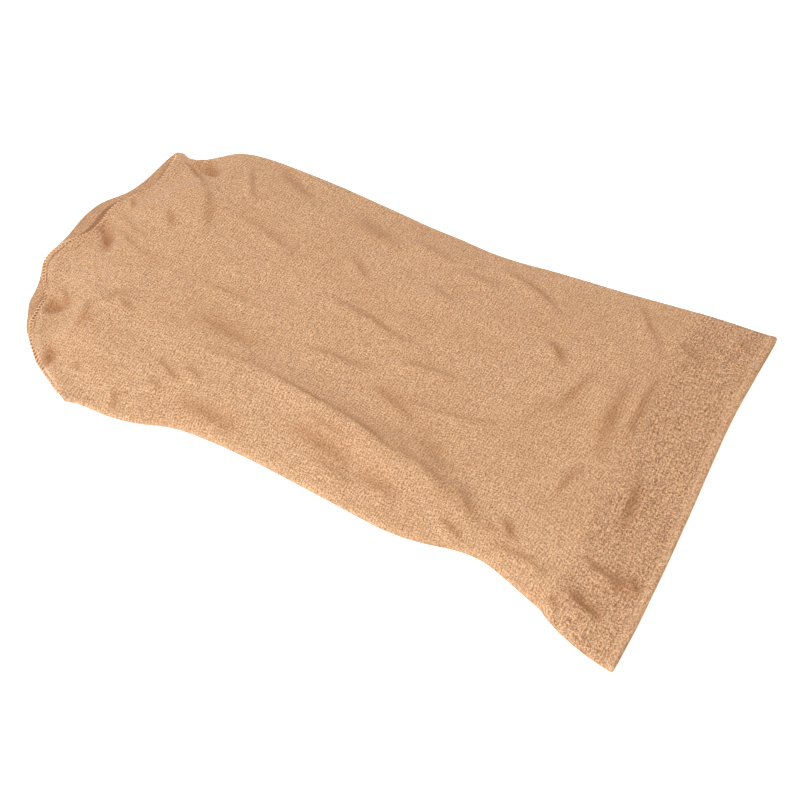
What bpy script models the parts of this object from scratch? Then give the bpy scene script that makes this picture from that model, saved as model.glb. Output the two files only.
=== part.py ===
"""A knitted wig cap, laid flat on its side: a hollow knitted tube closed by a seam at the toe, with a doubled welt at
the mouth. Metres, +Z up. The tube runs along X with its mouth at +X, and the origin is under the middle of it."""

import math
from collections import namedtuple

import bmesh
import bpy
from mathutils import Vector

# Overall size of the cap as it lies
CAP_LENGTH = 0.1928
CAP_WIDTH = 0.1124

# Knit: one layer in the body, turned in and doubled in the welt
KNIT_WALL = 0.0008
WELT_WALL = 0.0013
WELT_DEPTH = 0.0215
JOIN_GAP = 0.0003

# Height of the hollow between the two layers, in the middle and in the folded side edges
HEADROOM = 0.0064
FOLD_ROOM = 0.0008
LEAST_ROOM = 0.0005
LIP_OVERHANG = 0.0010

# Toe: the lower layer laps over the toe edge, up to a seam that lies in a groove
TOE_LAP = 0.0026
TOE_RISE = 0.024
TOE_END = 0.0006
SEAM_MARGIN = 0.0018
SEAM_THREAD = 0.0010
SEAM_CLEARANCE = 0.0003
GROOVE_WIDTH = 0.0011
GROOVE_DEPTH = 0.0011
LIP_RISE = 0.0011
SEAM_ALLOWANCE = 0.0028

# How full each section is across the width, and how a fold fades towards its ends
CROWN_POWER = 4.0
FADE_POWER = 0.6
FADE_LEAST = 0.06

# How far from an edge the folds and the toe's rise have their full height
SIDE_FADE = 0.009
TOE_FADE = 0.008

# Mesh density
COLUMNS = 24
BODY_ROWS = 35
INNER_ROWS = 27
ROW_SPREAD = 1.3
WELT_ROWS = 6
CURVE_STEPS = 12
SEAM_SIDES = 8
# Rows of the groove, in groove widths from its middle: the middle two bound its flat floor
GROOVE_STEPS = (-1.1, -0.5, 0.5, 1.1, 2.0, 3.4)

HALF_LENGTH = CAP_LENGTH / 2
HALF_WIDTH = CAP_WIDTH / 2

# Plan outline. x is a share of half the length and y of half the width, toe at -1 and mouth at +1.
Edge = namedtuple("Edge", "x y")
NEAR_EDGE = (
    Edge(-0.645, -0.90),
    Edge(-0.605, -0.88),
    Edge(-0.51, -0.875),
    Edge(-0.425, -0.845),
    Edge(-0.355, -0.80),
    Edge(-0.29, -0.78),
    Edge(-0.13, -0.775),
    Edge(0.06, -0.795),
    Edge(0.25, -0.82),
    Edge(0.34, -0.825),
    Edge(0.435, -0.80),
    Edge(0.50, -0.77),
    Edge(0.565, -0.76),
    Edge(0.625, -0.785),
    Edge(0.755, -0.865),
    Edge(0.815, -0.92),
    Edge(0.90, -0.97),
    Edge(0.99, -1.00),
)
FAR_EDGE = (
    Edge(-0.905, 0.71),
    Edge(-0.87, 0.715),
    Edge(-0.825, 0.73),
    Edge(-0.77, 0.79),
    Edge(-0.74, 0.845),
    Edge(-0.685, 0.895),
    Edge(-0.58, 0.915),
    Edge(-0.38, 0.91),
    Edge(-0.135, 0.88),
    Edge(0.055, 0.865),
    Edge(0.19, 0.86),
    Edge(0.38, 0.90),
    Edge(0.57, 0.93),
    Edge(0.695, 0.955),
    Edge(0.82, 0.975),
    Edge(0.99, 1.00),
)
MOUTH = (
    Edge(0.99, -1.00),
    Edge(1.00, -0.65),
    Edge(0.995, -0.20),
    Edge(0.985, 0.25),
    Edge(0.985, 0.60),
    Edge(0.99, 1.00),
)

# Toe outline from the near corner to the far one. lap is how much of TOE_LAP the lower layer shows past the seam.
Toe = namedtuple("Toe", "x y lap")
TOE = (
    Toe(-0.645, -0.90, 0.0),
    Toe(-0.73, -0.83, 0.0),
    Toe(-0.795, -0.775, 0.0),
    Toe(-0.845, -0.695, 0.1),
    Toe(-0.89, -0.63, 0.2),
    Toe(-0.91, -0.56, 0.5),
    Toe(-0.94, -0.49, 0.9),
    Toe(-0.95, -0.38, 0.6),
    Toe(-0.975, -0.305, 0.2),
    Toe(-0.995, -0.24, 0.1),
    Toe(-1.00, -0.17, 0.1),
    Toe(-0.99, -0.075, 0.4),
    Toe(-0.995, 0.095, 1.0),
    Toe(-0.985, 0.215, 1.0),
    Toe(-0.965, 0.28, 0.8),
    Toe(-0.94, 0.33, 1.0),
    Toe(-0.92, 0.43, 1.1),
    Toe(-0.91, 0.56, 0.9),
    Toe(-0.905, 0.71, 0.2),
)

# Height of the upper layer along the cap, as a share of its height in the middle
Loft = namedtuple("Loft", "station share")
LOFT = (
    Loft(0.00, 0.88),
    Loft(0.25, 1.00),
    Loft(0.60, 1.00),
    Loft(0.85, 0.96),
    Loft(1.00, 0.93),
)

# Folds of the upper layer. The route is in shares of half the length and width. rise is a share of HEADROOM, below
# zero for a hollow. left and right are the fold's widths on the two sides of its route, as shares of CAP_WIDTH.
Fold = namedtuple("Fold", "name route rise left right")
FOLDS = (
    Fold(
        "long_ridge",
        (
            (-0.43, -0.37),
            (-0.19, -0.39),
            (0.02, -0.45),
            (0.21, -0.50),
            (0.37, -0.55),
            (0.46, -0.63),
            (0.54, -0.71),
            (0.78, -0.80),
        ),
        0.36,
        0.031,
        0.060,
    ),
    Fold("behind_ridge", ((-0.38, -0.26), (0.0, -0.33), (0.26, -0.38), (0.54, -0.60)), -0.13, 0.050, 0.035),
    Fold("near_furrow", ((-0.09, -0.55), (0.12, -0.62), (0.31, -0.76)), -0.22, 0.030, 0.030),
    Fold("ear_pocket", ((-0.83, 0.69), (-0.78, 0.65), (-0.72, 0.58)), -0.36, 0.034, 0.032),
    Fold("ear_flap", ((-0.84, 0.58), (-0.73, 0.49), (-0.66, 0.34), (-0.62, 0.18)), 0.20, 0.030, 0.075),
    Fold("seam_pucker", ((-0.93, 0.08), (-0.89, 0.01), (-0.83, -0.12)), -0.17, 0.028, 0.028),
    Fold("toe_pocket", ((-0.89, -0.46), (-0.86, -0.47), (-0.82, -0.48)), -0.26, 0.032, 0.032),
    Fold("toe_arc", ((-0.78, -0.33), (-0.75, -0.44), (-0.745, -0.55), (-0.77, -0.68)), 0.17, 0.045, 0.026),
    Fold("near_toe_dent", ((-0.78, -0.69), (-0.76, -0.77)), -0.17, 0.028, 0.028),
    Fold("far_furrow", ((-0.61, 0.87), (-0.53, 0.79), (-0.46, 0.73), (-0.38, 0.66)), -0.21, 0.032, 0.032),
    Fold("far_shoulder", ((-0.29, 0.68), (-0.08, 0.62)), -0.10, 0.052, 0.052),
    Fold("elbow", ((0.43, 0.55), (0.48, 0.42), (0.53, 0.28)), -0.15, 0.020, 0.020),
    Fold("welt_ridge", ((0.72, 0.41), (0.725, 0.14), (0.72, -0.11), (0.69, -0.25)), 0.14, 0.018, 0.024),
    Fold("welt_furrow", ((0.85, -0.07), (0.86, -0.26), (0.88, -0.42)), -0.14, 0.020, 0.020),
    Fold("corner_ridge", ((0.80, -0.60), (0.88, -0.67), (0.955, -0.74)), 0.17, 0.022, 0.028),
    Fold("corner_hollow", ((0.83, -0.74), (0.93, -0.77)), -0.19, 0.026, 0.026),
)


class SmoothLine:
    """A smooth line through points, read by its share of length."""

    def __init__(self, points):
        self.points = []
        last = len(points) - 1
        for i in range(last):
            before, start = points[max(i - 1, 0)], points[i]
            end, after = points[i + 1], points[min(i + 2, last)]
            for step in range(CURVE_STEPS):
                t = step / CURVE_STEPS
                self.points.append(
                    (
                        2 * start
                        + (end - before) * t
                        + (2 * before - 5 * start + 4 * end - after) * t**2
                        + (3 * start - before - 3 * end + after) * t**3
                    )
                    / 2
                )
        self.points.append(points[last])
        self.shares = [0.0]
        for a, b in zip(self.points, self.points[1:]):
            self.shares.append(self.shares[-1] + (b - a).length)
        self.length = self.shares[-1]
        self.shares = [s / self.length for s in self.shares]

    def at(self, share):
        for i in range(1, len(self.points)):
            if share <= self.shares[i]:
                span = self.shares[i] - self.shares[i - 1]
                return self.points[i - 1].lerp(self.points[i], (share - self.shares[i - 1]) / span)
        return self.points[-1].copy()

    def nearest(self, point):
        """Signed distance of a point, over zero on the left, and the share of length nearest to it."""
        best = (math.inf, 0.0, 1.0)
        for i in range(1, len(self.points)):
            a, b = self.points[i - 1], self.points[i]
            along = b - a
            t = min(1.0, max(0.0, (point - a).dot(along) / along.length_squared))
            away = point - (a + along * t)
            if away.length < best[0]:
                side = 1.0 if along.x * away.y - along.y * away.x >= 0 else -1.0
                share = self.shares[i - 1] + t * (self.shares[i] - self.shares[i - 1])
                best = (away.length, share, side)
        return best[0] * best[2], best[1]


def plan_line(rows):
    return SmoothLine([Vector((row[0] * HALF_LENGTH, row[1] * HALF_WIDTH)) for row in rows])


near_line = plan_line(NEAR_EDGE)
far_line = plan_line(FAR_EDGE)
toe_line = plan_line(TOE)
mouth_line = plan_line(MOUTH)
fold_lines = [(fold, plan_line(fold.route)) for fold in FOLDS]


def smoothstep(low, high, value):
    t = min(1.0, max(0.0, (value - low) / (high - low)))
    return t * t * (3 - 2 * t)


def bell(distance, width):
    return math.exp(-((distance / width) ** 2))


def soft_floor(height, least):
    """The height, eased so that it never falls under the least."""
    return least + LEAST_ROOM * math.log1p(math.exp((height - least) / LEAST_ROOM))


def plan(across, along):
    """Point of the outline patch: across runs from the near edge to the far one, along from the toe to the mouth."""
    edges = near_line.at(along) * (1 - across) + far_line.at(along) * across
    ends = toe_line.at(across) * (1 - along) + mouth_line.at(across) * along
    toe_corners = toe_line.at(0) * (1 - across) + toe_line.at(1) * across
    mouth_corners = mouth_line.at(0) * (1 - across) + mouth_line.at(1) * across
    return edges + ends - toe_corners * (1 - along) - mouth_corners * along


def column_length(across):
    return (mouth_line.at(across) - toe_line.at(across)).length


def seam_distance(across):
    """How far the seam lies in from the toe outline."""
    position = across * (len(TOE) - 1)
    row = min(int(position), len(TOE) - 2)
    lap = TOE[row].lap + (TOE[row + 1].lap - TOE[row].lap) * (position - row)
    return SEAM_MARGIN + lap * TOE_LAP


def loft_share(along):
    for low, high in zip(LOFT, LOFT[1:]):
        if along <= high.station:
            return low.share + (high.share - low.share) * smoothstep(low.station, high.station, along)
    return LOFT[-1].share


def fold_height(point):
    height = 0.0
    for fold, line in fold_lines:
        distance, share = line.nearest(point)
        width = (fold.left if distance > 0 else fold.right) * CAP_WIDTH
        fade = math.sin(math.pi * min(1 - FADE_LEAST, max(FADE_LEAST, share))) ** FADE_POWER
        height += fold.rise * HEADROOM * fade * bell(distance, width)
    return height


def upper_height(across, along, point, from_side, from_toe):
    """Height of the upper layer's outside over the table, before its edge is rounded."""
    in_welt = smoothstep(1 - 2 * WELT_DEPTH / CAP_LENGTH, 1 - WELT_DEPTH / CAP_LENGTH, along)
    wall = KNIT_WALL + (WELT_WALL - KNIT_WALL) * in_welt
    edge = 2 * wall + FOLD_ROOM
    crown = 1 - abs(2 * across - 1) ** CROWN_POWER
    toe_rise = smoothstep(0, TOE_RISE, from_toe)
    full = (HEADROOM + 2 * KNIT_WALL) * loft_share(along)
    seam = seam_distance(across)
    height = edge + (full - edge) * crown * toe_rise
    height += fold_height(point) * smoothstep(0, SIDE_FADE, from_side) * smoothstep(0, TOE_FADE, from_toe)
    height += LIP_RISE * bell(from_toe - seam - 2 * GROOVE_WIDTH, 1.3 * GROOVE_WIDTH) * crown
    height = soft_floor(height, 2 * wall + LEAST_ROOM)
    return height - GROOVE_DEPTH * bell(from_toe - seam, GROOVE_WIDTH) * crown


def rounded_drop(distance, radius):
    """How far a fold's quarter circle falls at a distance in from its edge."""
    inside = max(0.0, 1 - distance / radius)
    return radius * (1 - math.sqrt(max(0.0, 1 - inside**2)))


def layer_points(across, along, inset):
    """Points of the upper and lower layer. inset is 0 on the outside and the wall's thickness on the inside."""
    side = 0 if across < 0.5 else 1
    edge_line = near_line if side == 0 else far_line
    width = (far_line.at(along) - near_line.at(along)).length
    moved = inset / width + across * (1 - 2 * inset / width)
    point = plan(moved, along)
    from_side = (point - edge_line.at(along)).length
    from_toe = (point - toe_line.at(moved)).length
    height = upper_height(moved, along, point, from_side, from_toe)
    edge_height = upper_height(side, along, edge_line.at(along), 0, from_toe)
    radius = edge_height / 2 - inset
    drop = rounded_drop(min(from_side, from_toe) - inset, radius)
    upper = Vector((point.x, point.y, height - inset - drop))
    lower = Vector((point.x, point.y, inset + drop))
    overhang = LIP_OVERHANG * smoothstep(1 - WELT_DEPTH / CAP_LENGTH, 1, along) * math.sin(math.pi * moved)
    lower.x -= overhang
    return upper, lower


def column_shares():
    """Places of the columns across the cap: close together in the rounded side edges, even between them."""
    radius = KNIT_WALL + FOLD_ROOM / 2
    edge = [0.0, 0.2 * radius, 0.7 * radius, 1.6 * radius]
    start = 3.2 * radius / CAP_WIDTH
    inner = [start + (1 - 2 * start) * i / COLUMNS for i in range(COLUMNS + 1)]
    left = [e / CAP_WIDTH for e in edge]
    return left + inner + [1 - e for e in reversed(left)]


ACROSS = column_shares()


def ring(alongs, inset):
    """One closed section: the upper layer from the near edge to the far one, then the lower layer back."""
    pairs = [layer_points(across, along, inset) for across, along in zip(ACROSS, alongs)]
    upper = [pair[0] for pair in pairs]
    lower = [pair[1] for pair in pairs]
    return upper + lower[-2:0:-1]


def even_row(share, starts, ends):
    return [start + (end - start) * share for start, end in zip(starts, ends)]


def spread_rows(count, starts, ends):
    """Rows that lie closer together near the toe, where the folds are small."""
    return [even_row((i / count) ** ROW_SPREAD, starts, ends) for i in range(count + 1)]


def toe_row(distances):
    return [distance / column_length(across) for distance, across in zip(distances, ACROSS)]


def add_ring(mesh, points):
    return [mesh.verts.new(point) for point in points]


def skin(mesh, first, second):
    count = len(first)
    for i in range(count):
        after = (i + 1) % count
        mesh.faces.new((first[i], first[after], second[after], second[i]))


def close_end(mesh, row):
    """Closes a section with a strip between its upper and lower layer."""
    last = len(ACROSS) - 1
    lower = [row[0]] + [row[len(row) - i] for i in range(1, last)] + [row[last]]
    for i in range(last):
        corners = [row[i], row[i + 1], lower[i + 1], lower[i]]
        unique = list(dict.fromkeys(corners))
        mesh.faces.new(unique)


def shell(name, outer, inner, closed_toe, colour):
    """A wall between outer and inner sections, given from one end to the other."""
    mesh = bmesh.new()
    outer_rings = [add_ring(mesh, points) for points in outer]
    inner_rings = [add_ring(mesh, points) for points in inner]
    for rings in (outer_rings, inner_rings):
        for first, second in zip(rings, rings[1:]):
            skin(mesh, first, second)
    skin(mesh, outer_rings[-1], inner_rings[-1])
    if closed_toe:
        close_end(mesh, outer_rings[0])
        close_end(mesh, inner_rings[0])
    else:
        skin(mesh, outer_rings[0], inner_rings[0])
    bmesh.ops.recalc_face_normals(mesh, faces=mesh.faces)
    data = bpy.data.meshes.new(name)
    mesh.to_mesh(data)
    mesh.free()
    data.shade_smooth()
    return add_object(name, data, colour)


def material(name, colour, roughness):
    made = bpy.data.materials.new(name)
    made.use_nodes = True
    shader = made.node_tree.nodes["Principled BSDF"]
    shader.inputs["Base Color"].default_value = (*colour, 1.0)
    shader.inputs["Roughness"].default_value = roughness
    shader.inputs["Metallic"].default_value = 0.0
    return made


def add_object(name, data, colour):
    made = bpy.data.objects.new(name, data)
    bpy.context.scene.collection.objects.link(made)
    data.materials.append(material(name + "_knit", colour, 0.9))
    return made


def toe_end(points):
    """The toe's first section is parted by TOE_END, so that its two layers don't meet in a knife edge."""
    last = len(ACROSS) - 1
    for i, point in enumerate(points):
        if 0 < i < last:
            point.z += TOE_END / 2
        elif i > last:
            point.z -= TOE_END / 2
    return points


def body_rows(welt_start):
    seams = [seam_distance(across) for across in ACROSS]
    distances = [[0.0] * len(seams), [0.25 * SEAM_MARGIN] * len(seams)]
    distances += [[seam + step * GROOVE_WIDTH for seam in seams] for step in GROOVE_STEPS]
    rows = [toe_row(row) for row in distances]
    return rows[:-1] + spread_rows(BODY_ROWS, rows[-1], welt_start)


def make_body():
    welt_start = [1 - (WELT_DEPTH + JOIN_GAP) / column_length(across) for across in ACROSS]
    outer = [ring(row, 0.0) for row in body_rows(welt_start)]
    toe_end(outer[0])
    inside_start = toe_row([seam_distance(across) + SEAM_ALLOWANCE for across in ACROSS])
    inner = [ring(row, KNIT_WALL) for row in spread_rows(INNER_ROWS, inside_start, welt_start)]
    return shell("cap_body", outer, inner, True, (0.64, 0.38, 0.22))


def make_welt():
    """The doubled band at the mouth, with a rounded lip where the knit turns in."""
    start = [1 - WELT_DEPTH / column_length(across) for across in ACROSS]
    lip = [1 - WELT_WALL / 2 / column_length(across) for across in ACROSS]
    outer = [ring(even_row(i / WELT_ROWS, start, lip), 0.0) for i in range(WELT_ROWS + 1)]
    inner = [ring(even_row(i / WELT_ROWS, start, lip), WELT_WALL) for i in range(WELT_ROWS + 1)]
    for angle in (math.pi / 4, math.pi / 2):
        turn = (1 - math.cos(angle)) / 2
        reach = Vector((WELT_WALL / 2 * math.sin(angle), 0, 0))
        outer.append([o.lerp(i, turn) + reach for o, i in zip(outer[WELT_ROWS], inner[WELT_ROWS])])
    turn = (1 + math.cos(math.pi / 4)) / 2
    reach = Vector((WELT_WALL / 2 * math.sin(math.pi / 4), 0, 0))
    inner.append([o.lerp(i, turn) + reach for o, i in zip(outer[WELT_ROWS], inner[WELT_ROWS])])
    return shell("welt_band", outer, inner, False, (0.58, 0.34, 0.20))


def make_seam():
    """The linked seam that closes the toe, a thread that lies in the groove."""
    curve = bpy.data.curves.new("toe_seam", "CURVE")
    curve.dimensions = "3D"
    curve.bevel_depth = SEAM_THREAD / 2
    curve.bevel_resolution = SEAM_SIDES // 4
    curve.use_fill_caps = True
    inside = ACROSS[4:-4]
    spline = curve.splines.new("POLY")
    spline.points.add(len(inside) - 1)
    for point, across in zip(spline.points, inside):
        sides = [
            layer_points(across, (seam_distance(across) + step * GROOVE_WIDTH) / column_length(across), 0.0)[0]
            for step in GROOVE_STEPS[1:3]
        ]
        middle = (sides[0] + sides[1]) / 2
        floor = max(side.z for side in sides)
        point.co = (middle.x, middle.y, floor + SEAM_CLEARANCE + SEAM_THREAD / 2, 1)
    return add_object("toe_seam", curve, (0.66, 0.42, 0.27))


def main():
    for old in list(bpy.data.objects):
        bpy.data.objects.remove(old)
    make_body()
    make_welt()
    make_seam()


main()
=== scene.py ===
"""The looks of a knitted wig cap that lies flat: its stretch knit, its doubled welt, the stitches that close
its toe, and a pale studio floor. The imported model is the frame, and each piece is made from the node that it
stands for."""

import math
from collections import namedtuple

import bmesh
import bpy
import numpy as np
from bpy.props import FloatProperty, FloatVectorProperty, IntProperty, PointerProperty
from mathutils import Matrix, Vector, noise


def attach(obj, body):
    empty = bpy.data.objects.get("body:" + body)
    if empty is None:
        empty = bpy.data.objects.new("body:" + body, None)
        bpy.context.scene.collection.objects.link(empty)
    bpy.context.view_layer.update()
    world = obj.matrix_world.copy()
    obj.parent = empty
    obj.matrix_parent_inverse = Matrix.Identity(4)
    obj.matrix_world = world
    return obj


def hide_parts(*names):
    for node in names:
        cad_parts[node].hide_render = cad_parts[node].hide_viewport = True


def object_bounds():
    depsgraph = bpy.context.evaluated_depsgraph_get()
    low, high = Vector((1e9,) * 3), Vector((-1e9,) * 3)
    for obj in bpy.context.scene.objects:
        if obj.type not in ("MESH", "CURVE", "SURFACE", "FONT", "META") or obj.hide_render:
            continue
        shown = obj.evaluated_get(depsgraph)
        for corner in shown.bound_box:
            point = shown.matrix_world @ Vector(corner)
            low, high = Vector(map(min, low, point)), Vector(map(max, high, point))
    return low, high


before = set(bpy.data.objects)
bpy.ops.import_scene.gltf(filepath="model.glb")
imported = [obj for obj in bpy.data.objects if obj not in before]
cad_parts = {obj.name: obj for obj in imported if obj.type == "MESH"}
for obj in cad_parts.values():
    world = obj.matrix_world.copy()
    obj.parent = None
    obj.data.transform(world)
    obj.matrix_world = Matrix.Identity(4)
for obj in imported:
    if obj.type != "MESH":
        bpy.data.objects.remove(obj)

bl_info = {
    "name": "Knitted wig cap",
    "version": (1, 0, 0),
    "blender": (4, 5, 0),
    "location": "View3D > Sidebar > Wig cap",
    "description": "Dresses the wig cap in its knit and sets the studio",
    "category": "Add Mesh",
}

MM = 0.001
cad_low, cad_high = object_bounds()

# The seam node's tube has this many points in each section
SEAM_SECTION = 8
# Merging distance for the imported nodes' loose triangles, and the limits within which two of them make a quad
WELD = 1e-6
QUAD_FLATNESS = math.radians(50)
QUAD_SHAPE = math.radians(75)
# Edges sharper than this stay sharp in the shading
SMOOTH_ANGLE = math.radians(60)
# The end faces where body and welt meet look along the cap by at least this share. They lie past this place,
# and at least this far from the mouth.
JOIN_FACING = 0.8
JOIN_X = 70 * MM
JOIN_TO_MOUTH = 4 * MM
# The body's end runs this far past its place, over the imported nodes' gap, and this much under the welt's skin
JOIN_LAP = 0.75 * MM
JOIN_SINK = 0.08 * MM
# Between these heights a point passes from the lower layer to the upper one
LAYER_LOW = 1.4 * MM
LAYER_HIGH = 2.3 * MM
# The lowest that the upper layer's outside and inside may be pressed
PRESSED_OUTSIDE = 1.75 * MM
PRESSED_INSIDE = 0.92 * MM
# Faces that look up by at least this share and lie higher than this are split once more. The rounded rims are
# fine enough without, and so the body stays under 200,000 triangles.
UPPER_FACING = 0.86
UPPER_LOW = 1.5 * MM
# The toe's wales run straight from here to the seam
TOE_STRAIGHT_X = -60 * MM
# The outline is measured at this many places along the cap and across its mouth, this far inside its ends
SIDE_STATIONS = 24
MOUTH_STATIONS = 20
END_MARGIN = 2 * MM

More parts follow.
